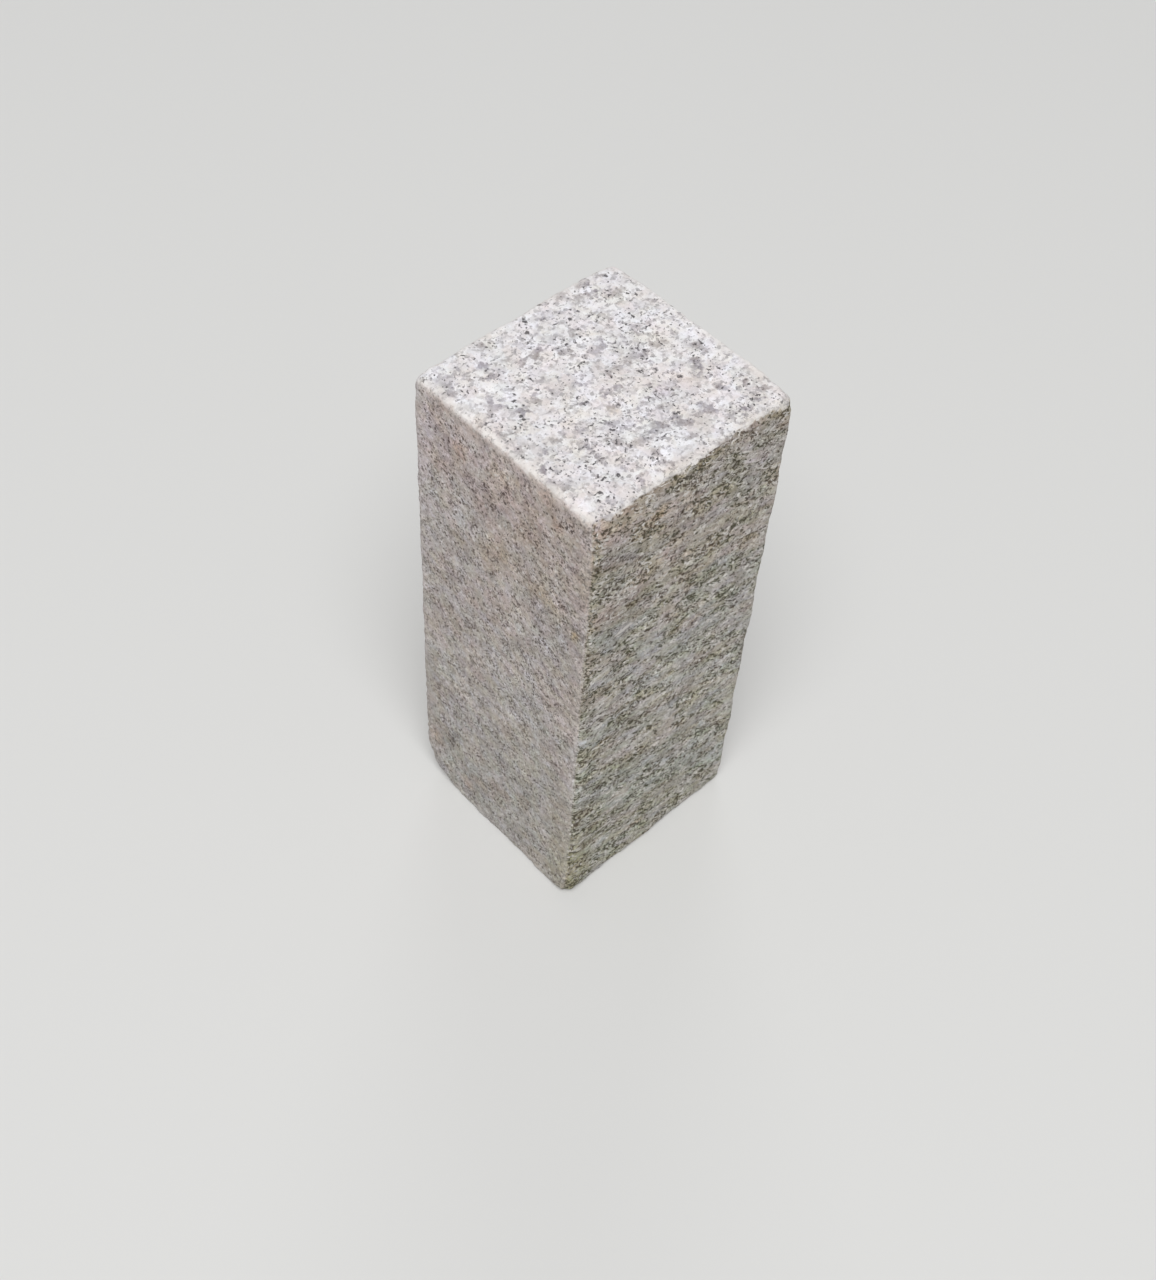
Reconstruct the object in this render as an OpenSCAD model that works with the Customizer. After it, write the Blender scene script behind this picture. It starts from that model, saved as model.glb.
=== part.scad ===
// Granite palisade: a square upright stone for edging beds and paths, dressed from one block.
// +Z is up, and the origin is at the middle of the flat foot that the stone stands on.
// The head is at the top, the -Y side was split and pointed, and the other sides are dressed fine.

/* [Stone] */
// Width of the stone, along X
stone_w = 100; // [60:1:140]
// Depth of the stone, along Y
stone_d = 98; // [60:1:140]
// Height of the stone, from its foot to its head
stone_h = 250; // [150:1:400]

/* [Arrises] */
// Radius of the arrises round the head
head_arris_r = 2; // [1.5:0.1:6]
// Radius of the four upright arrises
upright_arris_r = 2; // [1.5:0.1:6]
// Radius of the arrises round the foot
foot_arris_r = 2; // [1.5:0.1:6]
// Length over which one arris radius runs into the next
arris_blend = 30; // [15:1:60]

/* [Worn corners] */
// Radius of the head corner at -X -Y
head_front_r = 5; // [2:0.1:14]
// Radius of the head corner at -X +Y
head_left_r = 3.6; // [2:0.1:14]
// Radius of the head corner at +X -Y
head_right_r = 4.4; // [2:0.1:14]
// Radius of the head corner at +X +Y
head_back_r = 3.6; // [2:0.1:14]
// Radius of the foot corner at -X -Y
foot_front_r = 5; // [2:0.1:14]
// Radius of the foot corner at -X +Y, which is knocked off
foot_left_r = 13; // [2:0.1:14]
// Radius of the foot corner at +X -Y
foot_right_r = 2; // [2:0.1:14]
// Radius of the foot corner at +X +Y
foot_back_r = 4; // [2:0.1:14]
// How far the wear runs on past a corner's radius
wear_run = 10; // [8:1:18]

/* [Faces] */
// Depth of the hollows in the split -Y side
split_hollow = 1.2; // [0:0.1:2]
// Depth of the hollows in the three fine sides
fine_hollow = 0.6; // [0:0.1:1.5]
// Depth of the hollows in the head
head_hollow = 0.4; // [0:0.1:1]
// Distance from one hollow to the next
hollow_pitch = 46; // [30:1:90]

/* [Facets] */
// Width of the strip along each arris that has close facets
edge_zone = 10; // [8:1:16]
// Rows of facets across that strip
edge_rows = 6; // [4:1:6]
// Longest facet outside the strips
open_facet = 10; // [10:1:20]

/* [Hidden] */

stone_colour = [0.72, 0.69, 0.67];

// The block reaches this far below the foot, and is cut off flat there
foot_trim = 0.6;
cut_margin = 10;

// The rows of hollows sway by an angle, and the second row is closer than the first
sway = 55;
sway_rate = 0.65;
second_rate = 1.25;

// Where the pattern of hollows starts on each side
left_start = 0;
right_start = 31;
split_start = 12;
rear_start = 70;
head_start = 50;

// How strongly the rows of facets crowd towards an arris
crowding = 1.5;

half_w = stone_w / 2;
half_d = stone_d / 2;
low = -foot_trim;

// Each corner: where it is on the sharp block, and its radius
corners = [
    [[-half_w, -half_d, stone_h], head_front_r],
    [[-half_w, half_d, stone_h], head_left_r],
    [[half_w, -half_d, stone_h], head_right_r],
    [[half_w, half_d, stone_h], head_back_r],
    [[-half_w, -half_d, low], foot_front_r],
    [[-half_w, half_d, low], foot_left_r],
    [[half_w, -half_d, low], foot_right_r],
    [[half_w, half_d, low], foot_back_r]
];

// A smooth fall from 1 where t is 0 to 0 where t is 1
function fade(t) = t >= 1 ? 0 : pow(1 - t * t, 2);

function clamp(value, least, most) = max(least, min(most, value));

function total(list) = list * [for (item = list) 1];

// The arris radius at a height, away from the corners
function plain_radius(z) =
    upright_arris_r
    + (head_arris_r - upright_arris_r) * fade((stone_h - z) / arris_blend)
    + (foot_arris_r - upright_arris_r) * fade((z - low) / arris_blend);

// The arris radius at a point of the sharp block
function arris_radius(p) =
    let (plain = plain_radius(p.z))
    plain + total([
        for (c = corners) (c[1] - plain) * fade(norm(p - c[0]) / (c[1] + wear_run))
    ]);

// Rounds a point of the sharp block: it keeps its radius from a core that lies inside
function rounded(p) =
    let (r = arris_radius(p))
    let (core = [
        clamp(p.x, r - half_w, half_w - r),
        clamp(p.y, r - half_d, half_d - r),
        clamp(p.z, low + r, stone_h - r)
    ])
    core + r * (p - core) / norm(p - core);

// Hollows in a face, from 0 on the swells between them to 1 at their deepest
function hollows(along, across) =
    let (a = 360 * along / hollow_pitch)
    let (b = 360 * across / hollow_pitch)
    (2 - sin(a + sway * sin(sway_rate * b)) - sin(second_rate * b + sway * sin(sway_rate * a))) / 4;

function x_hollow(p) = fine_hollow * hollows(p.y + (p.x < 0 ? left_start : right_start), p.z);

function y_hollow(p) =
    p.y < 0
        ? split_hollow * hollows(p.x + split_start, p.z)
        : fine_hollow * hollows(p.x + rear_start, p.z);

function z_hollow(p) = head_hollow * hollows(p.x + head_start, p.y);

// Presses the hollows in. They fade to nothing at the middle of the stone and at its foot
function hollowed(p) = [
    p.x * (1 - x_hollow(p) / half_w),
    p.y * (1 - y_hollow(p) / half_d),
    p.z * (1 - z_hollow(p) / stone_h)
];

// Places along an edge of the block, which crowd towards both ends
function places(from, to) =
    let (start = from + edge_zone)
    let (open = to - edge_zone - start)
    let (steps = ceil(open / open_facet))
    let (strip = [for (k = [0 : edge_rows - 1]) edge_zone * pow(k / edge_rows, crowding)])
    [
        for (s = strip) from + s,
        for (k = [0 : steps]) start + open * k / steps,
        for (k = [edge_rows - 1 : -1 : 0]) to - strip[k]
    ];

xs = places(-half_w, half_w);
ys = places(-half_d, half_d);
zs = places(low, stone_h);

// A net of points over each face of the sharp block, every net wound the same way
nets = [
    [for (z = zs) [for (y = ys) [-half_w, y, z]]],
    [for (y = ys) [for (z = zs) [half_w, y, z]]],
    [for (x = xs) [for (z = zs) [x, -half_d, z]]],
    [for (z = zs) [for (x = xs) [x, half_d, z]]],
    [for (y = ys) [for (x = xs) [x, y, low]]],
    [for (x = xs) [for (y = ys) [x, y, stone_h]]]
];

// How many points come before a net
function points_before(n) = n == 0 ? 0 : points_before(n - 1) + len(nets[n - 1]) * len(nets[n - 1][0]);

// Two triangles for each mesh of a net
function facets(net, first) =
    let (across = len(net[0]))
    [
        for (row = [0 : len(net) - 2], column = [0 : across - 2])
            let (a = first + row * across + column)
            each [[a, a + 1, a + across + 1], [a, a + across + 1, a + across]]
    ];

module dressed_block() {
    polyhedron(
        points = [for (net = nets, row = net, p = row) hollowed(rounded(p))],
        faces = [for (n = [0 : len(nets) - 1]) each facets(nets[n], points_before(n))]
    );
}

module foot_cut() {
    translate([-half_w - cut_margin, -half_d - cut_margin, low - cut_margin])
        cube([stone_w + 2 * cut_margin, stone_d + 2 * cut_margin, cut_margin - low]);
}

module granite_palisade() {
    color(stone_colour)
        difference() {
            dressed_block();
            foot_cut();
        }
}

granite_palisade();
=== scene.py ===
import math
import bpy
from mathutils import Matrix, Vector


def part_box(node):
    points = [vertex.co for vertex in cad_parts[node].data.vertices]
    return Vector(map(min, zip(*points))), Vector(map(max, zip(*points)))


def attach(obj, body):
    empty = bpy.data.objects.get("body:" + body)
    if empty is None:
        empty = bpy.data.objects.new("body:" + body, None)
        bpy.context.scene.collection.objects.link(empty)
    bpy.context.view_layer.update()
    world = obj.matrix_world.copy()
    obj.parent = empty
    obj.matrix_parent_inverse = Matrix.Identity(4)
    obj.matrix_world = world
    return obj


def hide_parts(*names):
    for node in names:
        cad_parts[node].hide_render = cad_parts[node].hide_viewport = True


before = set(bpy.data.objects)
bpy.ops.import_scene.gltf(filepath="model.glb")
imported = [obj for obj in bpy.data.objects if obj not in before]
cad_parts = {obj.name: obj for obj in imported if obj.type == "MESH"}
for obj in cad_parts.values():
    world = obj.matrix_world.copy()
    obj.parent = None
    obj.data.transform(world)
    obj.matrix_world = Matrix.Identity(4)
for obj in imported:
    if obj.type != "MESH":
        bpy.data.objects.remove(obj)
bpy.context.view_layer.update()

from types import SimpleNamespace

import bmesh
import bpy
from mathutils import Matrix, Vector, noise

stoneLow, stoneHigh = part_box("granite_palisade")
stoneMiddle = (stoneLow + stoneHigh) / 2
scene = bpy.context.scene
mm = 0.001
stoneTall = (stoneHigh.z - stoneLow.z) / mm

facts = {  # what the mesh says at each of its points, and the name of the socket that takes it
    "side": "Side",  # 0 on the head and 1 on the sides
    "split": "Split",  # 1 on the split side
    "deep": "Deep",  # how deep the point lies for the stone about it
    "broken": "Broken",  # 0 where the stone is smooth and 1 where it is broken
    "arris": "Arris",  # mm to the nearest arris
    "belowHead": "Below Head",  # mm
}

view = {
    "azimuth": -46.2,  # degrees round the stone: 0 looks along +Y
    "elevation": 52.2,
    "roll": 4.4,
    "distance": 0.7065,
    "lens": 47.7,
    "nearest": 0.01,  # nothing closer than this is drawn
    "aimRight": -0.0028,  # where it aims, beside and above the middle of the stone
    "aimUp": -0.0155,
}


def makeCamera():
    azimuth = math.radians(view["azimuth"])
    elevation = math.radians(view["elevation"])
    back = Vector((
        math.sin(azimuth) * math.cos(elevation),
        -math.cos(azimuth) * math.cos(elevation),
        math.sin(elevation),
    ))
    right = Vector((0, 0, 1)).cross(back).normalized()
    up = back.cross(right)
    aim = stoneMiddle + right * view["aimRight"] + up * view["aimUp"]
    turn = Matrix((right, up, back)).transposed()
    camera = bpy.data.objects.new("camera", bpy.data.cameras.new("camera"))
    camera.data.lens = view["lens"]
    camera.data.clip_start = view["nearest"]
    camera.matrix_world = (
        Matrix.Translation(aim + back * view["distance"])
        @ turn.to_4x4()
        @ Matrix.Rotation(math.radians(view["roll"]), 4, "Z")
    )
    scene.collection.objects.link(camera)
    scene.camera = camera


makeCamera()
print("camera set")


def plug(tree, socket, value):
    if isinstance(value, bpy.types.NodeSocket):
        tree.links.new(value, socket)
    else:
        socket.default_value = value


def addNode(tree, kind, inputs=None, **settings):
    node = tree.nodes.new(kind)
    for name, value in settings.items():
        setattr(node, name, value)
    for name, value in (inputs or {}).items():
        plug(tree, node.inputs[name], value)
    return node


def calc(tree, operation, a, b=0.0):
    return addNode(tree, "ShaderNodeMath", {0: a, 1: b}, operation=operation).outputs[0]


def vectorCalc(tree, operation, a, b):
    return addNode(tree, "ShaderNodeVectorMath", {0: a, 1: b}, operation=operation).outputs[0]


def plus(tree, *values):
    total = values[0]
    for value in values[1:]:
        total = calc(tree, "ADD", total, value)
    return total


def times(tree, *values):
    product = values[0]
    for value in values[1:]:
        product = calc(tree, "MULTIPLY", product, value)
    return product


def larger(tree, a, b):
    return calc(tree, "MAXIMUM", a, b)


def oneLess(tree, value):  # what the value leaves of 1
    return calc(tree, "SUBTRACT", 1.0, value)


def awayFromHalf(tree, value):
    return calc(tree, "ABSOLUTE", calc(tree, "SUBTRACT", value, 0.5))


def ramp(tree, value, low, high, toLow=0.0, toHigh=1.0):  # a smooth step from low to high
    node = addNode(
        tree, "ShaderNodeMapRange",
        {"Value": value, "From Min": low, "From Max": high, "To Min": toLow, "To Max": toHigh},
        interpolation_type="SMOOTHSTEP",
    )
    return node.outputs["Result"]


def between(tree, share, none, full):  # from none to full as the share goes from 0 to 1
    return ramp(tree, share, 0, 1, none, full)


def mix(tree, share, a, b, kind="Color", **settings):
    node = addNode(tree, "ShaderNodeMix", **settings)
    for name, value in (("Factor_Float", share), ("A_" + kind, a), ("B_" + kind, b)):
        plug(tree, next(s for s in node.inputs if s.identifier == name), value)
    return next(s for s in node.outputs if s.identifier == "Result_" + kind)


def mixPlace(tree, share, a, b):
    return mix(tree, share, a, b, "Vector", data_type="VECTOR")


def mixColour(tree, share, a, b):
    return mix(tree, share, a, b, data_type="RGBA")


def tinted(tree, share, colour, tint):  # multiplied by the tint
    return mix(tree, share, colour, tint, data_type="RGBA", blend_type="MULTIPLY")


def earthy(value):  # a grey that is a little warmer the darker it is
    warmth = 0.12 * (1 - value)
    return (value * (1 + warmth), value, value * (1 - warmth), 1)


def shaded(tree, colour, value, low, high, share=1.0):  # darker or lighter as value goes from 0 to 1
    return tinted(tree, share, colour, mixColour(tree, value, earthy(low), earthy(high)))


def noiseAt(tree, where, size, detail=2.0, roughness=0.5, result="Fac"):  # size is in mm, as where is
    node = addNode(
        tree, "ShaderNodeTexNoise",
        {"Vector": where, "Scale": 1 / size, "Detail": detail, "Roughness": roughness},
    )
    return node.outputs[result]


def mottleAt(tree, where, size, detail=2.0, roughness=0.5):  # the same, spread out to the whole of 0 to 1
    return ramp(tree, noiseAt(tree, where, size, detail, roughness), 0.28, 0.72)


def cellsAt(tree, where, size, feature="F1", blur=0.0):
    settings = {"Vector": where, "Scale": 1 / size}
    if feature == "SMOOTH_F1":
        settings["Smoothness"] = blur
    return addNode(tree, "ShaderNodeTexVoronoi", settings, feature=feature).outputs


def threeOf(tree, colour):  # three unlike values from one colour
    return addNode(tree, "ShaderNodeSeparateColor", {"Color": colour}).outputs


def dotsAt(tree, where, size, chance, least, most):  # in some cells a dot, least to most of a cell wide
    cells = cellsAt(tree, where, size)
    pick = threeOf(tree, cells["Color"])
    chosen = ramp(tree, calc(tree, "SUBTRACT", chance, pick["Red"]), -0.01, 0.01)
    away = calc(tree, "DIVIDE", cells["Distance"], between(tree, pick["Green"], least, most))
    return times(tree, chosen, ramp(tree, away, 0.55, 1.0, toLow=1, toHigh=0))


def spotAt(tree, where, centre, widths, core=0.05):  # 1 inside a soft-edged spot and 0 outside it, in mm
    away = vectorCalc(tree, "DIVIDE", vectorCalc(tree, "SUBTRACT", where, centre), widths)
    reach = addNode(tree, "ShaderNodeVectorMath", {0: away}, operation="LENGTH").outputs["Value"]
    return ramp(tree, reach, core, 0.7, toLow=1, toHigh=0)


def moved(tree, where, by):
    return vectorCalc(tree, "ADD", where, by)


def scaled(tree, where, by):
    return vectorCalc(tree, "MULTIPLY", where, by)


def raggedly(tree, where, size, reach):  # pushes places about, so that outlines drawn there are ragged
    push = noiseAt(tree, where, size, detail=3.0, roughness=0.6, result="Color")
    push = moved(tree, push, (-0.5, -0.5, -0.5))
    return addNode(
        tree, "ShaderNodeVectorMath", {0: push, 1: (reach, reach, reach), 2: where}, operation="MULTIPLY_ADD",
    ).outputs[0]


def newGroup(name, inputs, outputs):
    group = bpy.data.node_groups.new(name, "ShaderNodeTree")
    for label, kind in inputs:
        group.interface.new_socket(label, in_out="INPUT", socket_type="NodeSocket" + kind)
    for label, kind in outputs:
        group.interface.new_socket(label, in_out="OUTPUT", socket_type="NodeSocket" + kind)
    return group, group.nodes.new("NodeGroupInput").outputs, group.nodes.new("NodeGroupOutput").inputs


def placeGroup(tree, group, inputs):
    return addNode(tree, "ShaderNodeGroup", inputs, node_tree=group).outputs


def grey(value):
    return (value, value, value, 1)


granite = {
    "feldspar": (0.800, 0.792, 0.818, 1),
    "greyFeldspar": (0.68, 0.66, 0.675, 1),
    "creamFeldspar": (0.785, 0.755, 0.735, 1),
    "pinkFeldspar": (0.745, 0.695, 0.695, 1),
    "quartz": (0.325, 0.299, 0.322, 1),
    "smokyQuartz": (0.365, 0.330, 0.330, 1),
    "greyGrain": (0.325, 0.310, 0.318, 1),
    "mica": (0.050, 0.045, 0.048, 1),
    "crystalSize": 5.0,  # mm, as all of these sizes are
    "crystalBlur": 0.35,
    "quartzSize": 6.2,
    "quartzSpotSize": 2.6,
    "quartzLevels": (0.545, 0.655),  # the noise at the rim and well inside a patch
    "quartzSpotLevels": (0.55, 0.70),
    "smokeSize": 12,
    "grainSize": 1.35,
    "fleckSize": 1.2,
    "fleckLevels": (0.665, 0.755),
    "fleckStrength": (0.28, 0.95),
    "gatherSize": 7.5,
    "stringSize": 8.0,
    "crowding": 0.14,  # how much more there are of the flecks where they gather
    "flakeSize": 3.4,
    "flakeChance": 0.13,
}


def makeFeldspar(tree, position, ragged):  # crystals of unlike tones run softly into each other
    cells = cellsAt(tree, ragged, granite["crystalSize"], "SMOOTH_F1", granite["crystalBlur"])
    tone = threeOf(tree, cells["Color"])
    body = mixColour(tree, ramp(tree, tone["Red"], 0.45, 0.90), granite["feldspar"], granite["greyFeldspar"])
    body = mixColour(tree, ramp(tree, tone["Green"], 0.55, 0.85, toHigh=0.6), body, granite["creamFeldspar"])
    body = mixColour(tree, ramp(tree, tone["Blue"], 0.6, 0.85, toHigh=0.6), body, granite["pinkFeldspar"])
    body = shaded(tree, body, mottleAt(tree, position, 2.2, detail=4.0, roughness=0.75), low=0.85, high=1.06)
    body = shaded(tree, body, mottleAt(tree, position, 16.0, detail=1.0), low=0.93, high=1.05)

    # small grey grains lie between them
    cells = cellsAt(tree, raggedly(tree, position, size=0.9, reach=1.2), granite["grainSize"])
    grains = threeOf(tree, cells["Color"])
    dull = times(tree, ramp(tree, grains["Red"], 0.66, 0.90), between(tree, grains["Green"], 0.2, 0.75))
    return mixColour(tree, dull, body, granite["greyGrain"]), tone


def makeQuartz(tree, position, ragged, tone):  # it lies in soft patches, large and small
    large = noiseAt(tree, ragged, granite["quartzSize"], roughness=0.55)
    small = noiseAt(tree, moved(tree, ragged, (31, 17, 5)), granite["quartzSpotSize"], detail=1.5)
    quartz = larger(
        tree, ramp(tree, large, *granite["quartzLevels"]),
        ramp(tree, small, *granite["quartzSpotLevels"], toHigh=0.75),
    )
    quartz = times(tree, quartz, ramp(tree, tone["Green"], 0.2, 0.8, toLow=0.65))
    smoky = ramp(tree, noiseAt(tree, position, granite["smokeSize"], detail=1.0), 0.4, 0.6)
    clear = mixColour(tree, smoky, granite["quartz"], granite["smokyQuartz"])
    cloudy = mottleAt(tree, position, 1.3, detail=3.0, roughness=0.7)
    return quartz, shaded(tree, clear, cloudy, low=0.75, high=1.30)


def makeMica(tree, position, ragged, quartz):  # flecks gather in clusters, in strings and round the quartz
    gather = noiseAt(tree, position, granite["gatherSize"], roughness=0.6)
    string = awayFromHalf(tree, noiseAt(tree, ragged, granite["stringSize"], detail=1.0))
    string = times(tree, ramp(tree, string, 0.0, 0.025, toLow=1, toHigh=0), 0.9)
    crowd = larger(tree, ramp(tree, gather, 0.38, 0.64), string)
    crowd = plus(tree, crowd, times(tree, quartz, 0.25))
    fleck = raggedly(tree, position, size=0.7, reach=0.8)
    fleck = noiseAt(tree, fleck, granite["fleckSize"], detail=1.5, roughness=0.55)
    fleck = plus(tree, fleck, times(tree, crowd, granite["crowding"]))
    strength = ramp(tree, noiseAt(tree, position, 1.8, detail=1.0), 0.38, 0.64, *granite["fleckStrength"])
    mica = times(tree, ramp(tree, fleck, *granite["fleckLevels"]), strength)
    chance = times(tree, crowd, granite["flakeChance"])
    where = raggedly(tree, position, size=1.4, reach=2.6)
    flakes = dotsAt(tree, where, granite["flakeSize"], chance, least=0.30, most=0.38)
    return larger(tree, mica, times(tree, flakes, 0.9))


def buildMinerals():
    group, given, put = newGroup(
        "graniteMinerals",
        [("Position", "Vector")],
        [("Color", "Color"), ("Quartz", "Float"), ("Mica", "Float")],
    )
    position = given["Position"]  # in mm
    ragged = raggedly(group, position, size=2.2, reach=3.5)
    colour, tone = makeFeldspar(group, position, ragged)
    quartz, quartzColour = makeQuartz(group, position, ragged, tone)
    colour = mixColour(group, quartz, colour, quartzColour)
    mica = makeMica(group, position, ragged, quartz)
    colour = mixColour(group, mica, colour, granite["mica"])
    for name, socket in (("Color", colour), ("Quartz", quartz), ("Mica", mica)):
        group.links.new(socket, put[name])
    return group


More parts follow.
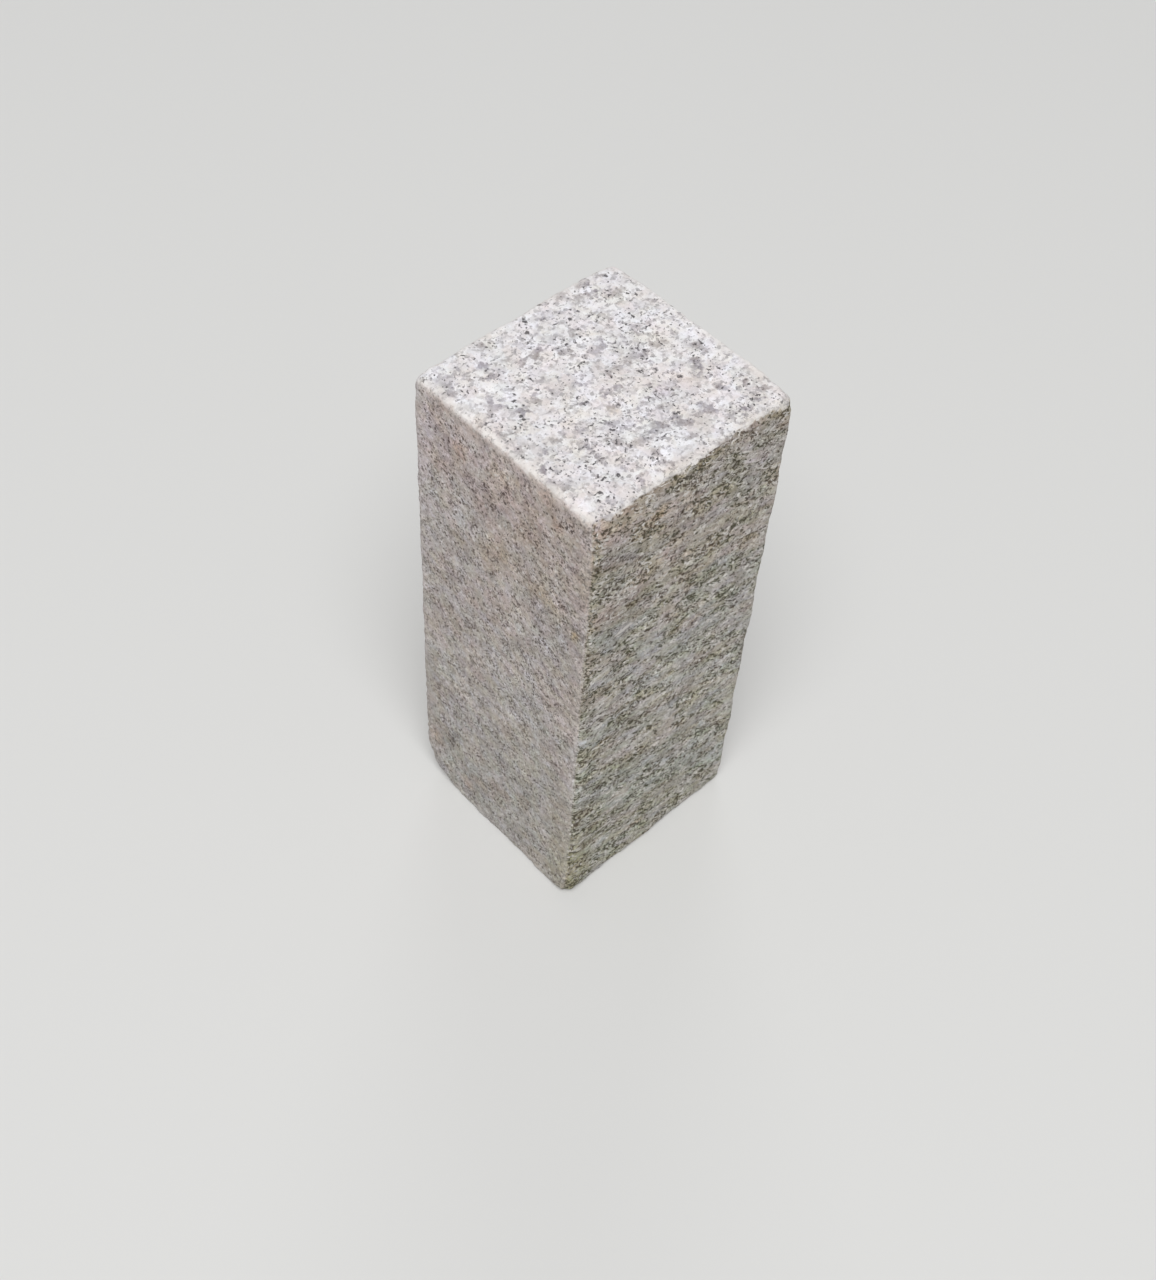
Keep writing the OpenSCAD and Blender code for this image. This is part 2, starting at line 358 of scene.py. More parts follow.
weather = {
    "slope": 20,  # degrees that the ledges and grains fall towards +X
    "grainStretch": (0.6, 1.0, 1.0),  # less than 1 draws them out
    "patchStretch": (0.45, 1.0, 1.0),
    "thinStretch": (0.12, 1.0, 0.45),
    # the film on the sides is dust, with painted warm light reflected from the ground; on the split side that
    # light is greener
    "dustAndReflectedLight": (0.648, 0.577, 0.538, 1),
    "splitDustAndReflectedLight": (0.543, 0.524, 0.475, 1),
    "filmSize": 5.0,  # mm, as all of these sizes are
    "filmShare": (0.46, 0.72),  # how much of the stone it hides
    "filmInHollows": 0.78,
    "ledgeSize": 1.9,
    "grainSize": 1.2,
    "gritSize": 0.75,
    "patchSize": 6.0,
    "widePatchSize": 22.0,
    "splitWidePatch": 0.6,  # how much those show on the split side
    "shades": {  # how dark and how light each of these makes the stone
        "darkGrain": (0.76, 1.04),
        "paleGrain": (0.99, 1.16),
        "grit": (0.80, 1.17),
        "ledge": (0.90, 1.08),
        "patch": (0.92, 1.07),
        "widePatch": (0.89, 1.10),
        # underHead and uprightArris are painted shade on arrises of the split side, which catch more of the
        # lamp than the faces beside them
        "underHead": (0.55, 1.0),
        "uprightArris": (0.86, 1.0),
    },
    "smoothLively": 0.68,  # how strongly the grains show where the stone is smooth
    "brokenLively": (1.12, 0.08),  # where it is broken, and what the split side has more of it
    "micaSeen": (0.075, 0.052, 0.048, 1),
    "micaShare": (0.90, 0.50),  # near the head, and low down
    "micaLow": 0.8,  # how low that is, as a share of the height
    # brown dirt under the head, with painted shade under its overhang
    "brownBand": (0.31, 0.255, 0.185, 1),
    "bandStart": (0.5, -3.0),  # how far below the head it begins to fade
    "bandHeight": 8,  # and where it ends
    "bandShare": (0.34, 0.72),  # on the fine sides, and on the split side
    "bandGaps": [  # the head's corners without it, as shares of the stone's box, and how wide the gap is
        ((0, 0, 1), (22, 22, 18)),
        ((1, 0, 1), (36, 22, 16)),
    ],
    "bandGapShare": 0.8,
    # dark pits: grime, and painted shade in the hollows and small pits
    "grimeAndShade": (0.105, 0.082, 0.070, 1),
    # the olive in the split side's pits is painted green light reflected from the ground
    "greenLitPits": (0.058, 0.058, 0.026, 1),
    "brownPits": (0.075, 0.052, 0.034, 1),
    "olivePatch": 7.0,
    "pitSize": 1.1,
    "pitLevels": (0.59, 0.67),  # the noise at the rim and well inside a pit
    "pitShare": (0.62, 0.24),  # on the fine sides, and what the split side has more of it
    "dotSize": 1.4,
    "dotWidths": (0.28, 0.62),
    "dotShare": 0.82,
    "smoothDots": 0.10,  # the share of cells with a dot where the stone is smooth
    "brokenDots": (0.36, 0.18),  # where it is broken, and what the split side has more of it
    "greenReflectedLight": (0.94, 0.942, 0.855, 1),  # painted green light reflected from the ground, in the broken places of the split side
    "tints": [  # what patches of the stone are multiplied by, how wide they are, and their own place
        ((1.025, 0.998, 1.05, 1), 8.0, (0, 0, 0)),
        ((1.045, 0.99, 0.94, 1), 14.0, (0, 70, 40)),
        ((0.98, 1.0, 0.93, 1), 7.0, (50, 0, 9)),
        ((0.97, 1.0, 1.03, 1), 5.0, (22, 31, 64)),
        ((0.92, 0.91, 0.90, 1), 10.0, (11, 5, 90)),
    ],
    "tintShare": 0.36,
    "sideTints": (0.36, 0.75),  # how much more on the sides, and what the split side has more of it
    "heightTints": [  # the same, and where each starts and is full, as shares of the way from head to foot
        ((1.01, 0.955, 0.955, 1), 0.35, 0.0),
        # darker and greener low down: painted shade and green light reflected from the ground
        ((0.93, 0.965, 0.94, 1), 0.42, 0.95),
    ],
    "drift": 40,  # how far up and down those two wander
    "driftSize": 30,
    "freshGrain": (0.80, 0.775, 0.745, 1),
    "freshSize": 1.1,
    "freshLevels": (0.60, 0.70),
    "freshShare": (0.40, 0.26),  # on the fine sides, and what the split side has more of it
    "thinLevels": (0.01, 0.05),  # how wide the thin pale ledges are, in the noise that they follow
    "thinPatch": 5.0,
    "thinPatchLevels": (0.47, 0.56),
    "thinStrength": 1.35,
    "loneSize": 4.0,
    "loneChance": 0.32,
    "loneWidths": (0.19, 0.27),
    "loneStrength": 1.45,
    "scratchShare": 0.8,
    "bruise": (0.80, 0.775, 0.75, 1),
    "bruiseReach": (0.6, 4.8),  # mm from the arris where it starts to fall off, and where it ends
    "bruiseShare": 0.80,
    "sideBruise": 0.42,  # how much less on the sides
    "uprightBruise": 0.40,  # of that, how much is on the upright arrises
    "splitBruise": 0.2,  # and on the split side
    "paleStrip": (0.80, 0.74, 0.72, 1),
    "stripReach": 12,
    "stripShare": 0.22,
    "stains": {
        "rust": (1.03, 0.91, 0.82, 1),
        "ochre": (0.94, 0.78, 0.54, 1),
        "tan": (1.03, 0.975, 0.89, 1),
        "plum": (0.84, 0.78, 0.82, 1),
        "olive": (0.88, 0.87, 0.72, 1),
        "cream": (1.01, 0.995, 0.95, 1),
        "peach": (1.01, 0.955, 0.91, 1),
        "brown": (0.84, 0.80, 0.72, 1),
        "white": (1.06, 1.065, 1.08, 1),
        "warm": (0.955, 0.92, 0.865, 1),
        # the next four are painted light and shade, not stains: darker near the foot, lighter in places,
        # darker high on the split side, and lighter on the arris that faces away from the lamp
        "footShade": (0.855, 0.85, 0.86, 1),
        "paintedLight": (1.065, 1.07, 1.085, 1),
        "shade": (0.87, 0.875, 0.865, 1),
        "arrisLight": (1.10, 1.14, 1.18, 1),
    },
    "marks": [  # which stain or painted light or shade, where in the stone's box as shares of it, and how wide it is in mm
        ("warm", (0.00, 0.14, 0.870), (60, 75, 62)),
        # the next four lines are painted light and shade: lighter high on the left side, darker near its
        # foot, darker high on the split side, lighter on the far upright arris
        ("paintedLight", (0.00, 0.95, 0.850), (60, 75, 90)),
        ("footShade", (0.00, 0.98, 0.100), (60, 110, 130)),
        ("shade", (0.17, 0.00, 0.730), (32, 50, 100)),
        ("arrisLight", (0.00, 1.00, 0.900), (16, 22, 110)),
        ("olive", (0.00, 0.00, 0.100), (40, 30, 90)),
        # painted light, low on the split side near +X
        ("paintedLight", (0.95, 0.00, 0.380), (60, 60, 100)),
        ("brown", (0.00, 0.03, 0.940), (9, 9, 11)),
        ("brown", (0.00, 0.87, 0.960), (10, 10, 12)),
        ("rust", (0.00, 0.73, 0.925), (10, 10, 9)),
        ("tan", (0.00, 0.50, 0.950), (16, 16, 14)),
        ("rust", (0.00, 0.26, 0.975), (10, 10, 8)),
        ("rust", (0.00, 0.19, 0.940), (9, 9, 8)),
        ("tan", (0.00, 0.23, 0.770), (22, 22, 16)),
        ("ochre", (0.00, 0.07, 0.740), (5, 5, 7)),
        ("tan", (0.00, 0.50, 0.760), (26, 26, 22)),
        ("plum", (0.00, 0.80, 0.625), (12, 12, 8)),
        ("plum", (0.00, 0.45, 0.140), (12, 12, 9)),
        ("rust", (0.00, 0.92, 0.120), (12, 12, 12)),
        ("rust", (0.00, 0.70, 0.060), (13, 13, 10)),
        ("peach", (0.00, 0.16, 0.050), (12, 12, 10)),
        ("plum", (0.01, 0.00, 0.985), (15, 13, 10)),
        ("rust", (0.31, 0.00, 0.935), (11, 9, 8)),
        ("tan", (0.31, 0.00, 0.820), (16, 9, 9)),
        ("olive", (0.60, 0.00, 0.740), (17, 12, 10)),
        ("rust", (0.61, 0.00, 0.600), (11, 9, 8)),
        ("ochre", (0.15, 0.00, 0.440), (8, 8, 4)),
        ("rust", (0.72, 0.00, 0.260), (12, 9, 6)),
        ("olive", (0.22, 0.00, 0.320), (14, 9, 10)),
        ("tan", (0.06, 0.00, 0.080), (22, 20, 18)),
        ("rust", (0.41, 0.00, 0.080), (9, 9, 6)),
        # brown dirt along the top of the split side, with painted shade under the head's overhang
        ("brown", (0.50, 0.00, 0.985), (170, 12, 12)),
        ("white", (0.06, 0.15, 1.000), (13, 14, 9)),
        ("white", (0.15, 0.06, 1.000), (17, 11, 9)),
        ("white", (0.28, 0.64, 1.000), (14, 11, 9)),
        ("peach", (0.00, 0.45, 1.000), (10, 150, 10)),
        ("peach", (0.11, 0.53, 1.000), (6, 6, 6)),
        ("tan", (0.44, 0.39, 1.000), (7, 6, 6)),
        ("plum", (0.63, 0.34, 1.000), (9, 8, 8)),
        ("cream", (0.86, 0.82, 1.000), (14, 14, 9)),
        ("cream", (0.80, 0.56, 1.000), (16, 14, 9)),
        ("peach", (0.74, 0.35, 1.000), (12, 11, 9)),
    ],
    "scratches": [  # where thin pale ledges run on the split side
        ((0.10, 0.00, 0.640), (10, 16, 1.5)),
        ((0.14, 0.00, 0.560), (8, 16, 1.2)),
        ((0.12, 0.00, 0.500), (9, 16, 1.3)),
        ((0.09, 0.00, 0.165), (7, 16, 1.3)),
        ((0.22, 0.00, 0.150), (9, 16, 1.3)),
        ((0.69, 0.00, 0.676), (11, 16, 1.5)),
        ((0.21, 0.00, 0.714), (12, 16, 1.7)),
        ((0.47, 0.00, 0.455), (8, 16, 1.3)),
        ((0.33, 0.00, 0.595), (9, 16, 1.3)),
        ((0.62, 0.00, 0.330), (8, 16, 1.3)),
    ],
}


def placeInBox(shares):  # in mm
    return [(low + share * (high - low)) / mm for low, high, share in zip(stoneLow, stoneHigh, shares)]


def readPlaces(tree, given):  # where a point of the stone is, and what the mesh says of it
    position = given["Position"]
    sloping = addNode(
        tree, "ShaderNodeVectorRotate", {"Vector": position, "Angle": -math.radians(weather["slope"])},
        rotation_type="Y_AXIS",
    ).outputs[0]
    lying = scaled(tree, sloping, weather["grainStretch"])
    wavy = raggedly(tree, lying, size=2.0, reach=1.0)
    return SimpleNamespace(
        position=position,
        sloping=sloping,
        lying=lying,
        laid=mixPlace(tree, given["Split"], position, scaled(tree, sloping, weather["patchStretch"])),
        ledges=mottleAt(tree, wavy, weather["ledgeSize"], detail=3.0, roughness=0.6),
        splitSide=times(tree, given["Split"], given["Side"]),
        **{name: given[label] for name, label in facts.items()},
    )


def moreOnSplit(tree, at, shares):  # the first share, and on the split side the second one too
    least, more = shares
    return plus(tree, times(tree, at.split, more), least)


def layDustAndReflectedLight(tree, at, colour):  # dust on the upright sides, thinner in the hollows, with painted warm light reflected from the ground, greener on the split side
    share = noiseAt(tree, at.laid, weather["filmSize"], detail=3.0, roughness=0.6)
    share = ramp(tree, share, 0.3, 0.7, *weather["filmShare"])
    share = times(tree, share, ramp(tree, at.deep, -0.8, 0.4, toLow=weather["filmInHollows"]), at.side)
    dustAndReflectedLight = mixColour(tree, at.split, weather["dustAndReflectedLight"], weather["splitDustAndReflectedLight"])
    return mixColour(tree, share, colour, dustAndReflectedLight), share


def shadeGrains(tree, at, colour):  # grains are darker and lighter, most of all where the stone is broken
    shades = weather["shades"]
    most = moreOnSplit(tree, at, weather["brokenLively"])
    lively = times(tree, at.side, between(tree, at.broken, weather["smoothLively"], most))
    cells = cellsAt(tree, raggedly(tree, at.position, size=0.9, reach=1.2), weather["grainSize"])
    grains = threeOf(tree, cells["Color"])
    colour = shaded(tree, colour, ramp(tree, grains["Red"], 0.0, 0.35), *shades["darkGrain"], lively)
    colour = shaded(tree, colour, ramp(tree, grains["Green"], 0.7, 1.0), *shades["paleGrain"], lively)
    gritty = mottleAt(tree, at.lying, weather["gritSize"], roughness=0.65)
    colour = shaded(tree, colour, gritty, *shades["grit"], lively)
    colour = shaded(tree, colour, at.ledges, *shades["ledge"], at.side)
    colour = shaded(tree, colour, at.ledges, *shades["ledge"], at.splitSide)
    patches = mottleAt(tree, at.laid, weather["patchSize"], detail=3.0)
    colour = shaded(tree, colour, patches, *shades["patch"], at.side)
    wide = mottleAt(tree, moved(tree, at.position, (40, 3, 8)), weather["widePatchSize"])
    share = times(tree, at.side, between(tree, at.split, 1.0, weather["splitWidePatch"]))
    return shaded(tree, colour, wide, *shades["widePatch"], share)


def showMica(tree, at, colour, mica):  # it shows through the dust, most of all near the head
    low = weather["micaLow"] * stoneTall
    share = ramp(tree, at.belowHead, 0, low, *weather["micaShare"])
    return mixColour(tree, times(tree, mica, at.side, share), colour, weather["micaSeen"])


def darkenUnderHead(tree, at, colour):  # a brown band runs there, with gaps at two corners of the head: dirt, and painted shade under the head's overhang
    waving = raggedly(tree, at.position, size=3.0, reach=3.0)
    gaps = [
        spotAt(tree, waving, placeInBox(shares), widths, core=0.2) for shares, widths in weather["bandGaps"]
    ]
    banded = oneLess(tree, times(tree, larger(tree, *gaps), weather["bandGapShare"]))
    start = between(tree, at.split, *weather["bandStart"])
    band = times(
        tree, ramp(tree, at.belowHead, start, weather["bandHeight"], toLow=1, toHigh=0), at.side,
        ramp(tree, noiseAt(tree, at.position, 8, detail=3.0, roughness=0.6), 0.3, 0.6, toLow=0.3),
        banded, between(tree, at.split, *weather["bandShare"]),
    )
    colour = mixColour(tree, band, colour, weather["brownBand"])
    # right at the arris of the split side it is painted shade, as that arris turns up to the light
    arris = ramp(tree, at.belowHead, 0.3, 3.5)
    return shaded(tree, colour, arris, *weather["shades"]["underHead"], times(tree, at.splitSide, banded))


def darkenPits(tree, at, colour):  # grime and painted shade lie in hollows and small pits, most of all where the stone is broken
    pits = raggedly(tree, at.lying, size=1.2, reach=1.2)
    pits = plus(
        tree, noiseAt(tree, pits, weather["pitSize"], detail=1.5, roughness=0.55),
        ramp(tree, at.deep, -0.3, 0.8, toLow=-0.03, toHigh=0.07),
        between(tree, at.broken, -0.045, 0.035),
        times(tree, at.split, between(tree, at.ledges, 0.06, -0.03)),
    )
    grimeAndShade = times(tree, ramp(tree, pits, *weather["pitLevels"]), moreOnSplit(tree, at, weather["pitShare"]))
    most = moreOnSplit(tree, at, weather["brokenDots"])
    chance = between(tree, at.broken, weather["smoothDots"], most)
    where = raggedly(tree, moved(tree, at.lying, (7, 3, 1)), size=0.8, reach=0.7)
    dots = dotsAt(tree, where, weather["dotSize"], chance, *weather["dotWidths"])
    grimeAndShade = larger(tree, grimeAndShade, times(tree, dots, weather["dotShare"]))
    # on the split side the pits are brown grime, or olive with painted green light reflected from the ground
    olive = noiseAt(tree, moved(tree, at.lying, (5, 5, 5)), weather["olivePatch"])
    splitGrimeAndShade = mixColour(tree, ramp(tree, olive, 0.38, 0.55), weather["brownPits"], weather["greenLitPits"])
    tone = mixColour(tree, at.split, weather["grimeAndShade"], splitGrimeAndShade)
    return mixColour(tree, times(tree, grimeAndShade, at.side), colour, tone)


def tintPatches(tree, at, colour):  # redder near the head, and darker and greener low down, which is painted shade and green light reflected from the ground
    strength = times(tree, at.side, moreOnSplit(tree, at, weather["sideTints"]))
    strength = plus(tree, strength, weather["tintShare"])
    for tint, size, shift in weather["tints"]:
        patch = ramp(tree, noiseAt(tree, moved(tree, at.laid, shift), size), 0.45, 0.60)
        colour = tinted(tree, times(tree, patch, strength), colour, tint)
    # painted green light reflected from the ground, in the broken places of the split side
    green = times(tree, ramp(tree, at.broken, 0.2, 1.0), at.splitSide)
    colour = tinted(tree, green, colour, weather["greenReflectedLight"])
    wander = noiseAt(tree, at.position, weather["driftSize"])
    wander = ramp(tree, wander, 0.3, 0.7, toLow=-weather["drift"], toHigh=weather["drift"])
    drift = plus(tree, at.belowHead, wander)
    for tint, start, full in weather["heightTints"]:
        near = times(tree, ramp(tree, drift, start * stoneTall, full * stoneTall), at.side)
        colour = tinted(tree, near, colour, tint)
    return colour


def addStains(tree, at, colour):  # stains, and patches of painted light and shade, with a place of their own
    strayed = raggedly(tree, raggedly(tree, at.position, size=9.0, reach=4.5), size=2.5, reach=2.0)
    worn = between(tree, mottleAt(tree, at.position, 1.4), 0.6, 1.0)
    for stain, shares, widths in weather["marks"]:
        spot = times(tree, spotAt(tree, strayed, placeInBox(shares), widths), worn)
        colour = tinted(tree, spot, colour, weather["stains"][stain])
    return colour


def showFreshGrains(tree, at, colour):  # grains broken fresh are pale, on the split side in thin ledges too
    where = moved(tree, raggedly(tree, at.lying, size=1.0, reach=1.0), (9, 4, 77))
    fresh = noiseAt(tree, where, weather["freshSize"], detail=1.5)
    raised = ramp(tree, at.deep, -0.5, 0.5, toLow=1.0, toHigh=0.4)
    fresh = times(tree, ramp(tree, fresh, *weather["freshLevels"]), raised)
    where = scaled(tree, raggedly(tree, at.sloping, size=3.0, reach=1.5), weather["thinStretch"])
    thin = noiseAt(tree, where, 1.0, detail=1.0)
    thin = ramp(tree, awayFromHalf(tree, thin), *weather["thinLevels"], toLow=1, toHigh=0)
    kept = noiseAt(tree, moved(tree, at.position, (3, 60, 8)), weather["thinPatch"], detail=1.0)
    kept = ramp(tree, kept, *weather["thinPatchLevels"])
    fresh = larger(tree, fresh, times(tree, thin, kept, at.split, weather["thinStrength"]))
    where = raggedly(tree, moved(tree, at.position, (2, 2, 40)), size=1.2, reach=1.6)
    lone = dotsAt(tree, where, weather["loneSize"], weather["loneChance"], *weather["loneWidths"])
    fresh = larger(tree, fresh, times(tree, lone, weather["loneStrength"]))
    fresh = times(tree, fresh, at.side, moreOnSplit(tree, at, weather["freshShare"]))
    return mixColour(tree, fresh, colour, weather["freshGrain"])


def addScratches(tree, at, colour):  # thin pale ledges with a place of their own
    wavering = raggedly(tree, at.position, size=1.5, reach=0.8)
    for shares, widths in weather["scratches"]:
        spot = spotAt(tree, wavering, placeInBox(shares), widths, core=0.35)
        spot = times(tree, spot, weather["scratchShare"])
        colour = mixColour(tree, spot, colour, weather["freshGrain"])
    return colour


def bruiseAndShadeArrises(tree, at, colour):  # they are bruised pale, and the upright arris of the split side gets painted shade
    gap = times(tree, at.arris, plus(tree, times(tree, at.split, 0.6), 1.0))
    bruise = times(
        tree, ramp(tree, gap, *weather["bruiseReach"], toLow=1, toHigh=0),
        ramp(tree, noiseAt(tree, at.position, 4.0, detail=3.0, roughness=0.6), 0.30, 0.55),
        calc(tree, "SUBTRACT", weather["bruiseShare"], times(tree, at.side, weather["sideBruise"])),
        ramp(tree, at.belowHead, 4, 14, toLow=1.0, toHigh=weather["uprightBruise"]),
        ramp(tree, at.splitSide, 0.2, 0.6, toLow=1.0, toHigh=weather["splitBruise"]),
    )
    colour = mixColour(tree, bruise, colour, weather["bruise"])
    strip = ramp(tree, at.arris, 0, weather["stripReach"], toLow=weather["stripShare"], toHigh=0)
    strip = times(tree, strip, at.side, oneLess(tree, at.split))
    colour = mixColour(tree, strip, colour, weather["paleStrip"])
    # painted shade on the upright arris of the split side, which catches more of the lamp than the faces
    # beside it
    upright = times(tree, at.splitSide, ramp(tree, at.belowHead, 4, 12))
    edge = ramp(tree, at.arris, 0.4, 2.2)
    return shaded(tree, colour, edge, *weather["shades"]["uprightArris"], upright)


def buildWeathering():
    group, given, put = newGroup(
        "graniteWeathering",
        [("Color", "Color"), ("Mica", "Float"), ("Position", "Vector")]
        + [(label, "Float") for label in facts.values()],
        [("Color", "Color"), ("DustAndReflectedLight", "Float")],
    )
    at = readPlaces(group, given)
    colour, dustAndReflectedLight = layDustAndReflectedLight(group, at, given["Color"])
    colour = shadeGrains(group, at, colour)
    colour = showMica(group, at, colour, given["Mica"])
    for change in (
        darkenUnderHead, darkenPits, tintPatches, addStains, showFreshGrains, addScratches, bruiseAndShadeArrises,
    ):
        colour = change(group, at, colour)
    group.links.new(colour, put["Color"])
    group.links.new(dustAndReflectedLight, put["DustAndReflectedLight"])
    return group


grit = {  # relief too fine for the mesh
    "fineSize": 0.5,  # mm
    "fineAmount": (0.12, 0.12),  # everywhere, and what the sides have more of it
    "coarseSize": 0.9,
    "coarseStretch": (0.7, 0.9, 1.0),
    "coarseAmount": (0.18, 0.10),  # on the sides, and what the split side has more of it
    "quartzRough": 0.6,
    "grainRough": 0.85,
    "dustRough": 0.95,
}


def makeGrit(tree, inMm, side, split):  # mm, coarser on the sides
    fine = noiseAt(tree, inMm, grit["fineSize"], roughness=0.6)
    coarse = noiseAt(tree, scaled(tree, inMm, grit["coarseStretch"]), grit["coarseSize"], roughness=0.65)
    least, more = grit["fineAmount"]
    fineAmount = plus(tree, times(tree, side, more), least)
    onSides, onSplit = grit["coarseAmount"]
    coarseAmount = plus(tree, times(tree, side, onSides), times(tree, split, onSplit))
    height = plus(tree, times(tree, fine, fineAmount), times(tree, coarse, coarseAmount))
    bump = addNode(tree, "ShaderNodeBump", {"Height": height, "Distance": mm, "Strength": 1.0})
    return bump.outputs["Normal"]


def makeGranite():
    material = bpy.data.materials.new("granite")
    material.use_nodes = True
    tree = material.node_tree
    shader = tree.nodes["Principled BSDF"]
    position = addNode(tree, "ShaderNodeTexCoord").outputs["Object"]
    inMm = scaled(tree, position, (1 / mm, 1 / mm, 1 / mm))
    told = {
        label: addNode(tree, "ShaderNodeAttribute", attribute_name=name).outputs["Fac"]
        for name, label in facts.items()
    }
    minerals = placeGroup(tree, buildMinerals(), {"Position": inMm})
    weathered = placeGroup(
        tree, buildWeathering(),
        {"Color": minerals["Color"], "Mica": minerals["Mica"], "Position": inMm, **told},
    )
    tree.links.new(weathered["Color"], shader.inputs["Base Color"])
    rough = mixColour(tree, minerals["Quartz"], grey(grit["grainRough"]), grey(grit["quartzRough"]))
    rough = mixColour(tree, weathered["DustAndReflectedLight"], rough, grey(grit["dustRough"]))
    tree.links.new(rough, shader.inputs["Roughness"])
    tree.links.new(makeGrit(tree, inMm, told["Side"], told["Split"]), shader.inputs["Normal"])
    return material


stoneShape = {
    "voxel": 0.72,  # mm, the even net that carries the relief
    "triangles": 194000,
    "sharpFold": 38,  # degrees
    "headRelief": 0.16,  # mm, how deep each side was dressed
    "fineRelief": 0.26,
    "splitRelief": 0.85,
    "headMean": 0.9,  # how far the mean of each relief lies under the skin, as a share of it
    "fineMean": 0.3,
    "splitMean": 0.25,
    "headDressing": ((2.6, 0.9), (3.0, 0.5)),  # swells and broken crystals: how wide in mm, how strong
    "fineDressing": ((3.2, 0.9), (2.8, 0.8)),
    "splitSwells": ((7.5, 0.14), (3.0, 0.22)),
    "splitBreaks": ((4.2, 0.28), (2.3, 0.50)),
    "fineRough": (0.6, 0.7),  # how strong that is where the stone is smooth, and how much more if broken
    "splitRough": (0.55, 0.7),
    "splitCalm": (-4, 8),  # mm from the +X side, near which the split side is smoother
    "ledge": (2.4, 1.0, 1.0),  # the split side broke in ledges, long along X
    "proud": 0.45,  # mm, how far the relief of the sides may stand out
    "proudFrom": (1, 6),  # mm from the head or the foot, where it starts to and where it may in full
    "splitTurn": (0.15, 0.6),  # how far a normal turns between the other sides and the split side
    "headTurn": (0.3, 0.9),  # and between a side and the head
    "patch": 6.5,  # mm, about how far the stone goes from smooth to broken
    "patchStretch": (2.0, 1, 1),
    "arrisReach": 7,  # mm, how far from an arris its wear can be felt
    "arrisWidth": 2.4,
    "arrisWear": 0.55,
    "arrisWorn": 0.35,  # how much of that there is between the places where it comes and goes
    "uprightFrom": (4, 14),  # mm below the head, where the upright arrises start
    "splitNear": (9, 3),  # mm from the split side, where its own wear starts and is full
    "uprightArris": 0.45,  # how rough the upright arrises are beside those of the head
    "splitArris": 1.6,  # and the one between the head and the split side
    "swayPitches": (11, 3.5),
    "brokenBack": 1.1,  # mm, how far the split side was broken back under the head
    "backPitches": (8, 2.6),
    "backWidths": (3.2, 5),  # mm, on the head and down the side
    "backReach": (9, 12),  # and how far that can be felt
    "backAll": 0.15,  # how much of that runs all along the head
    "chips": 1.0,
    "chipEvery": 8.0,
    "chipRadius": 0.42,  # as a share of that
    "chipLeast": 0.45,  # the size under which a chip is left out
    "turnPitch": 2.4,  # mm, of the ragged line where the head ends and a side starts
    "turnRagged": (0.5, 0.4),  # how ragged it is on the other sides, and on the split side
    "turnStart": (0.15, 0.40),  # how far the normal has turned up where it starts, on the same sides
    "turnEnd": (0.75, 0.55),
    "turnSway": 0.6,
    "octaveFade": 0.9,  # how fast the swells of each relief fade as they get finer
    "octaveStep": 2.1,  # and how much finer each is than the last
    "cleaveSeed": 37.0,
    "chipSeed": 53.0,
    "frontBreak": 0.5,  # how much more broken the split side is along the front arris
    "frontNear": (8, 1),  # mm from the -X side, where that starts and is full
    "brokenLevels": (-0.45, 0.45),
    "negligible": 0.01,
}


def evaluated(thing):
    depsgraph = bpy.context.evaluated_depsgraph_get()
    depsgraph.update()
    return bpy.data.meshes.new_from_object(thing.evaluated_get(depsgraph))


def joinedCopy(node):  # a copy of a CAD node's mesh, with its facets joined up
    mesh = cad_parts[node].data.copy()
    work = bmesh.new()
    work.from_mesh(mesh)
    bmesh.ops.remove_doubles(work, verts=work.verts, dist=1e-6)
    work.to_mesh(mesh)
    work.free()
    mesh.materials.clear()
    return mesh


def spread(place, size, stretch=(1, 1, 1)):
    return Vector([value / (size * by) for value, by in zip(place, stretch)])


def sloped(place):  # the same place, turned so that the ledges lie along X
    slope = math.radians(weather["slope"])
    along = place.x * math.cos(slope) - place.z * math.sin(slope)
    across = place.x * math.sin(slope) + place.z * math.cos(slope)
    return Vector((along, place.y, across))


def rolling(place, size, stretch=(1, 1, 1), octaves=3):  # about -1 to 1
    return noise.fractal(
        spread(place, size, stretch), stoneShape["octaveFade"], stoneShape["octaveStep"], octaves,
        noise_basis="PERLIN_ORIGINAL",
    )


def cleaved(place, size, stretch=(1, 1, 1)):  # small tilted planes where crystals broke away
    where = spread(place, size, stretch)
    centre = noise.voronoi(where)[1][0]
    tilt = noise.cell_vector(centre * stoneShape["cleaveSeed"])
    return (where - centre).dot(tilt) + 0.5 * tilt.x


def step(value, low, high):
    share = min(1.0, max(0.0, (value - low) / (high - low)))
    return share * share * (3 - 2 * share)


def blend(share, none, full):
    return none + share * (full - none)


def gapsToSides(place):  # mm to the stone's nearer side along X, Y and Z
    half = (stoneHigh - stoneLow) / 2 / mm
    return [reach - abs(away) for reach, away in zip(half, place - stoneMiddle / mm)]


def gapToArris(gaps):  # the nearest arris is about as far away as the second nearest side
    return sorted(gaps)[1]


def gapToHead(place):
    return stoneHigh.z / mm - place.z


def splitSideAt(normal):
    return step(-normal.y, *stoneShape["splitTurn"])


def swayAt(place):  # how the arrises wander, about -1 to 1
    long, short = stoneShape["swayPitches"]
    return rolling(place, long) + 0.5 * rolling(place, short)


def brokenAt(place):  # 0 where the stone is smooth and 1 where it is broken, as by the front arris
    front = step(place.x - stoneLow.x / mm, *stoneShape["frontNear"])
    front *= step(place.y - stoneLow.y / mm, *stoneShape["splitNear"])
    patches = rolling(sloped(place), stoneShape["patch"], stoneShape["patchStretch"])
    return step(patches + stoneShape["frontBreak"] * front, *stoneShape["brokenLevels"])


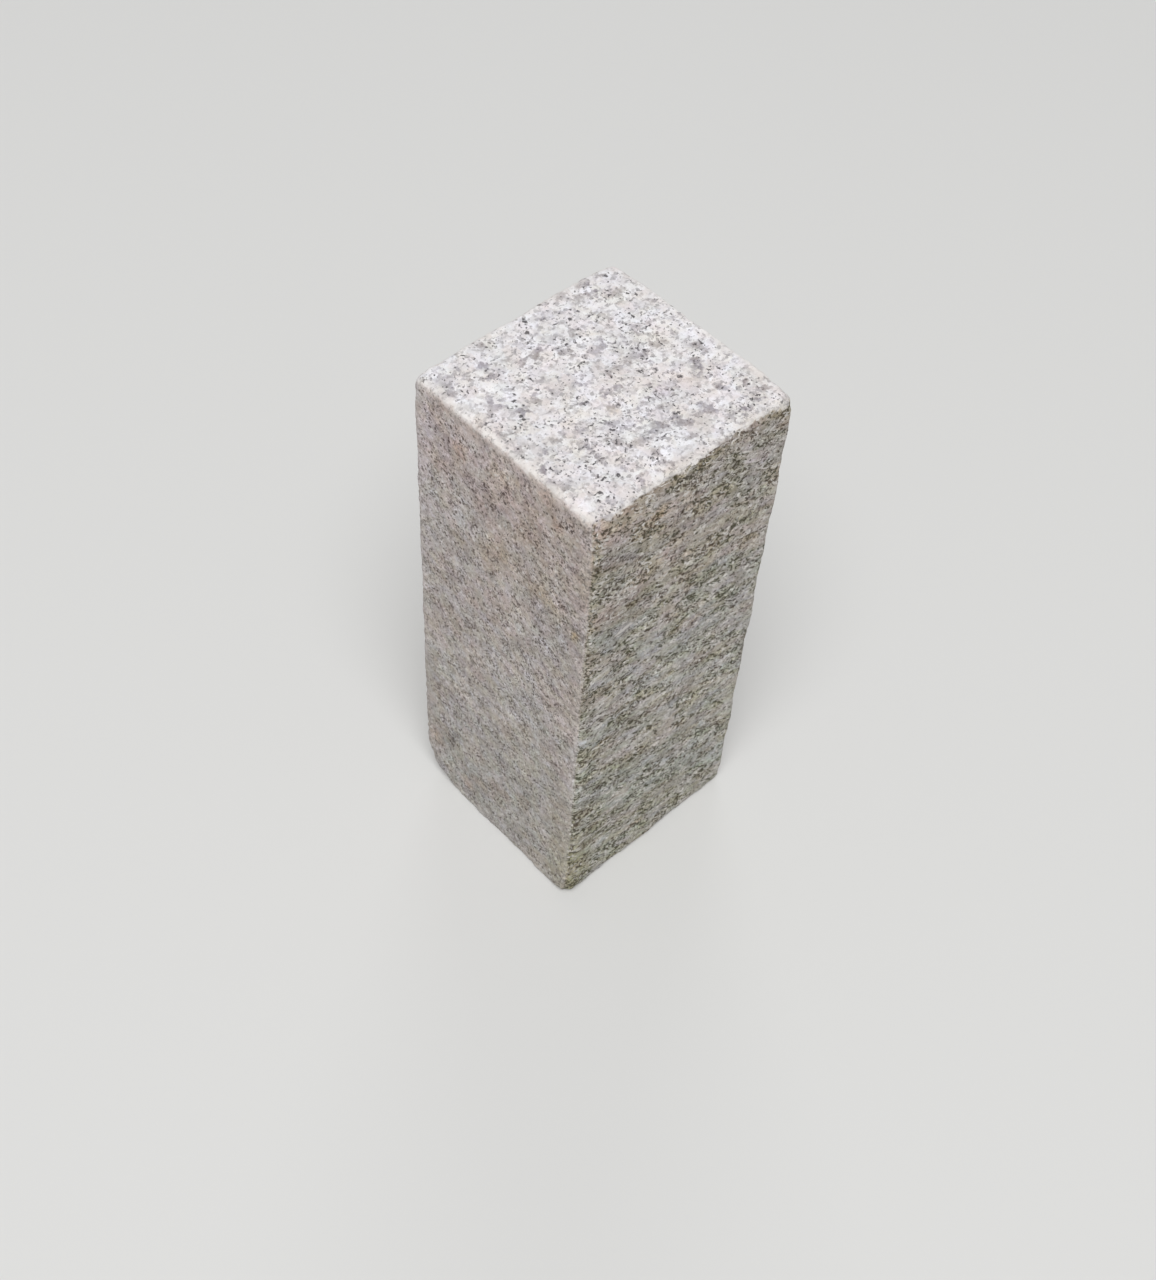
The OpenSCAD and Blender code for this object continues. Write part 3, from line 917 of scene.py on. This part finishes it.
def chipAt(place):  # 0, or up to 1 in the middle of a chip
    where = spread(place, stoneShape["chipEvery"])
    centre = noise.voronoi(where)[1][0]
    size = 0.5 + 0.5 * noise.cell_vector(centre * stoneShape["chipSeed"]).y
    hollow = 1 - ((where - centre).length / stoneShape["chipRadius"]) ** 2
    return max(0.0, size - stoneShape["chipLeast"]) * max(0.0, hollow)


def arrisDepth(place):  # mm taken off the arrises by wear and by chips
    gaps = gapsToSides(place)
    toArris = gapToArris(gaps)
    if toArris > stoneShape["arrisReach"]:
        return 0.0
    upright = step(gaps[2], *stoneShape["uprightFrom"])
    split = step(gaps[1], *stoneShape["splitNear"]) if place.y < 0 else 0.0
    rough = 1 + (stoneShape["splitArris"] - 1) * split
    rough += (stoneShape["uprightArris"] - rough) * upright
    fall = math.exp(-(toArris / stoneShape["arrisWidth"]) ** 2)
    worn = stoneShape["arrisWear"] * max(0.0, stoneShape["arrisWorn"] + swayAt(place))
    return fall * rough * (worn + 2 * stoneShape["chips"] * chipAt(place))


def backAt(place):  # mm that the split side was broken back along the head
    gaps = gapsToSides(place)
    mostY, mostZ = stoneShape["backReach"]
    if place.y > 0 or place.z < stoneMiddle.z / mm or gaps[1] > mostY or gaps[2] > mostZ:
        return 0.0
    long, short = stoneShape["backPitches"]
    back = max(0.0, stoneShape["backAll"] + rolling(place, long) + 0.5 * rolling(place, short))
    onHead, downSide = stoneShape["backWidths"]
    return stoneShape["brokenBack"] * back * math.exp(-(gaps[1] / onHead) ** 2 - (gaps[2] / downSide) ** 2)


def splitBreak(place):  # how far the broken surface lies under its mean
    ledge = stoneShape["ledge"]
    (wide, wideAmount), (ridge, ridgeAmount) = stoneShape["splitSwells"]
    place = sloped(place)
    depth = wideAmount * rolling(place, wide, ledge)
    depth += ridgeAmount * (1 - 2 * abs(rolling(place, ridge, ledge, 2)))
    for pitch, amount in stoneShape["splitBreaks"]:
        depth += amount * cleaved(place, pitch, ledge)
    return depth


def dressedAt(place, swells, crystals):  # how far a dressed surface lies under its mean
    (swell, swellAmount), (crystal, crystalAmount) = swells, crystals
    return swellAmount * rolling(place, swell) + crystalAmount * cleaved(place, crystal)


def roughened(name, broken):
    smooth, more = stoneShape[name]
    return smooth + more * broken


def reliefAt(place, normal, broken):  # mm under the skin, and how deep that is for the stone about it
    split = splitSideAt(normal)
    head = (1 - split) * step(normal.z, *stoneShape["headTurn"])
    foot = (1 - split) * step(-normal.z, *stoneShape["headTurn"])
    fine = 1 - split - head - foot
    depth, deep = 0.0, 0.0
    if head > stoneShape["negligible"]:
        dressed = dressedAt(place, *stoneShape["headDressing"])
        depth += head * stoneShape["headRelief"] * (stoneShape["headMean"] + dressed)
    if fine > stoneShape["negligible"]:
        dressed = dressedAt(place, *stoneShape["fineDressing"]) * roughened("fineRough", broken)
        depth += fine * stoneShape["fineRelief"] * (stoneShape["fineMean"] + dressed)
        deep += fine * 0.5 * dressed
    if split > stoneShape["negligible"]:
        rough = splitBreak(place) * roughened("splitRough", broken)
        rough *= step(stoneHigh.x / mm - place.x, *stoneShape["splitCalm"])
        depth += split * stoneShape["splitRelief"] * (stoneShape["splitMean"] + rough)
        deep += split * rough
    proud = stoneShape["proud"] * step(gapsToSides(place)[2], *stoneShape["proudFrom"])
    return max(-proud, depth) + arrisDepth(place), deep


def upward(place, normal):  # 1 on the head and 0 on the sides, with a quick and ragged turn on the arris
    belowHead = gapToHead(place)
    if belowHead > stoneShape["arrisReach"]:
        return 0.0
    split = step(-normal.y, 0.1, 0.5)
    ragged = blend(split, *stoneShape["turnRagged"]) * rolling(place, stoneShape["turnPitch"])
    ragged -= stoneShape["turnSway"] * split * swayAt(place)
    ragged *= step(belowHead, stoneShape["arrisReach"], 3)
    start, end = blend(split, *stoneShape["turnStart"]), blend(split, *stoneShape["turnEnd"])
    return step(normal.z + ragged, start, end)


def carve(mesh):
    normals = [vertex.normal.copy() for vertex in mesh.vertices]
    told = {name: [] for name in facts}
    for vertex, normal in zip(mesh.vertices, normals):
        place = vertex.co / mm
        broken = brokenAt(place)
        depth, deep = reliefAt(place, normal, broken)
        vertex.co -= normal * depth * mm
        vertex.co.y += backAt(place) * mm
        told["side"].append(1 - upward(place, normal))
        told["split"].append(splitSideAt(normal))
        told["deep"].append(deep)
        told["broken"].append(broken)
        told["arris"].append(gapToArris(gapsToSides(place)))
        told["belowHead"].append(gapToHead(place))
    for name, values in told.items():
        mesh.attributes.new(name, "FLOAT", "POINT").data.foreach_set("value", values)


def makeStone():
    block = bpy.data.objects.new("block", joinedCopy("granite_palisade"))
    scene.collection.objects.link(block)
    remesh = block.modifiers.new("evenNet", "REMESH")
    remesh.mode = "VOXEL"
    remesh.voxel_size = stoneShape["voxel"] * mm
    mesh = evaluated(block)
    bpy.data.objects.remove(block)
    print("even net of", len(mesh.polygons), "quads")

    carve(mesh)
    print("relief carved")

    stone = bpy.data.objects.new("dressed_granite", mesh)
    scene.collection.objects.link(stone)
    thin = stone.modifiers.new("thin", "DECIMATE")
    thin.ratio = min(1.0, stoneShape["triangles"] / (2 * len(mesh.polygons)))
    thinned = evaluated(stone)
    stone.modifiers.clear()
    stone.data = thinned
    thinned.polygons.foreach_set("use_smooth", [True] * len(thinned.polygons))
    thinned.set_sharp_from_angle(angle=math.radians(stoneShape["sharpFold"]))
    thinned.materials.append(makeGranite())
    print("stone of", len(thinned.polygons), "triangles")
    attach(stone, "root")
    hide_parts("granite_palisade")


makeStone()

studio = {
    "floorSeen": (0.66, 0.66, 0.65, 1),
    "floorBounce": (0.40, 0.385, 0.36, 1),
    "floorReach": 5.0,
    "floorRoughness": 0.9,
    "backdrop": (0.60, 0.60, 0.59, 1),
    "sky": (1.0, 1.0, 1.0, 1),
    "skyStrength": 0.30,
    "lampFrom": (-1.92, -1.80, 5.55),  # from the middle of the stone
    "lampSize": 4.05,
    "lampPower": 338,
    "fillFrom": (5.0, 5.0, 2.0),  # a weak light on the far sides, as even as a wide and distant window
    "fillSpread": 32,  # degrees
    "fillPower": 0.65,
}


def makeFloor():
    reach = studio["floorReach"]
    level = stoneLow.z
    mesh = bpy.data.meshes.new("floor")
    corners = [(-reach, -reach, level), (reach, -reach, level), (reach, reach, level), (-reach, reach, level)]
    mesh.from_pydata(corners, [], [(0, 1, 2, 3)])
    floor = bpy.data.objects.new("floor", mesh)
    scene.collection.objects.link(floor)
    material = bpy.data.materials.new("paleFloor")
    material.use_nodes = True
    tree = material.node_tree
    seen = addNode(tree, "ShaderNodeLightPath").outputs["Is Camera Ray"]
    colour = mixColour(tree, seen, studio["floorBounce"], studio["floorSeen"])
    tree.links.new(colour, tree.nodes["Principled BSDF"].inputs["Base Color"])
    tree.nodes["Principled BSDF"].inputs["Roughness"].default_value = studio["floorRoughness"]
    mesh.materials.append(material)


def makeLamp(name, kind, away, **settings):
    lamp = bpy.data.lights.new(name, kind)
    for setting, value in settings.items():
        setattr(lamp, setting, value)
    light = bpy.data.objects.new(name, lamp)
    light.location = stoneMiddle + Vector(away)
    light.rotation_euler = (stoneMiddle - light.location).to_track_quat("-Z", "Y").to_euler()
    scene.collection.objects.link(light)


def makeLights():
    world = bpy.data.worlds.new("studio")
    scene.world = world
    world.use_nodes = True
    tree = world.node_tree
    background = tree.nodes["Background"]
    seen = addNode(tree, "ShaderNodeLightPath").outputs["Is Camera Ray"]
    plug(tree, background.inputs["Color"], mixColour(tree, seen, studio["sky"], studio["backdrop"]))
    plug(tree, background.inputs["Strength"], calc(tree, "MAXIMUM", seen, studio["skyStrength"]))
    makeLamp(
        "overhead", "AREA", studio["lampFrom"],
        shape="DISK", size=studio["lampSize"], energy=studio["lampPower"],
    )
    makeLamp(
        "fill", "SUN", studio["fillFrom"],
        angle=math.radians(studio["fillSpread"]), energy=studio["fillPower"],
    )


makeFloor()
makeLights()
scene.view_settings.view_transform = "Standard"
print("floor and light set")
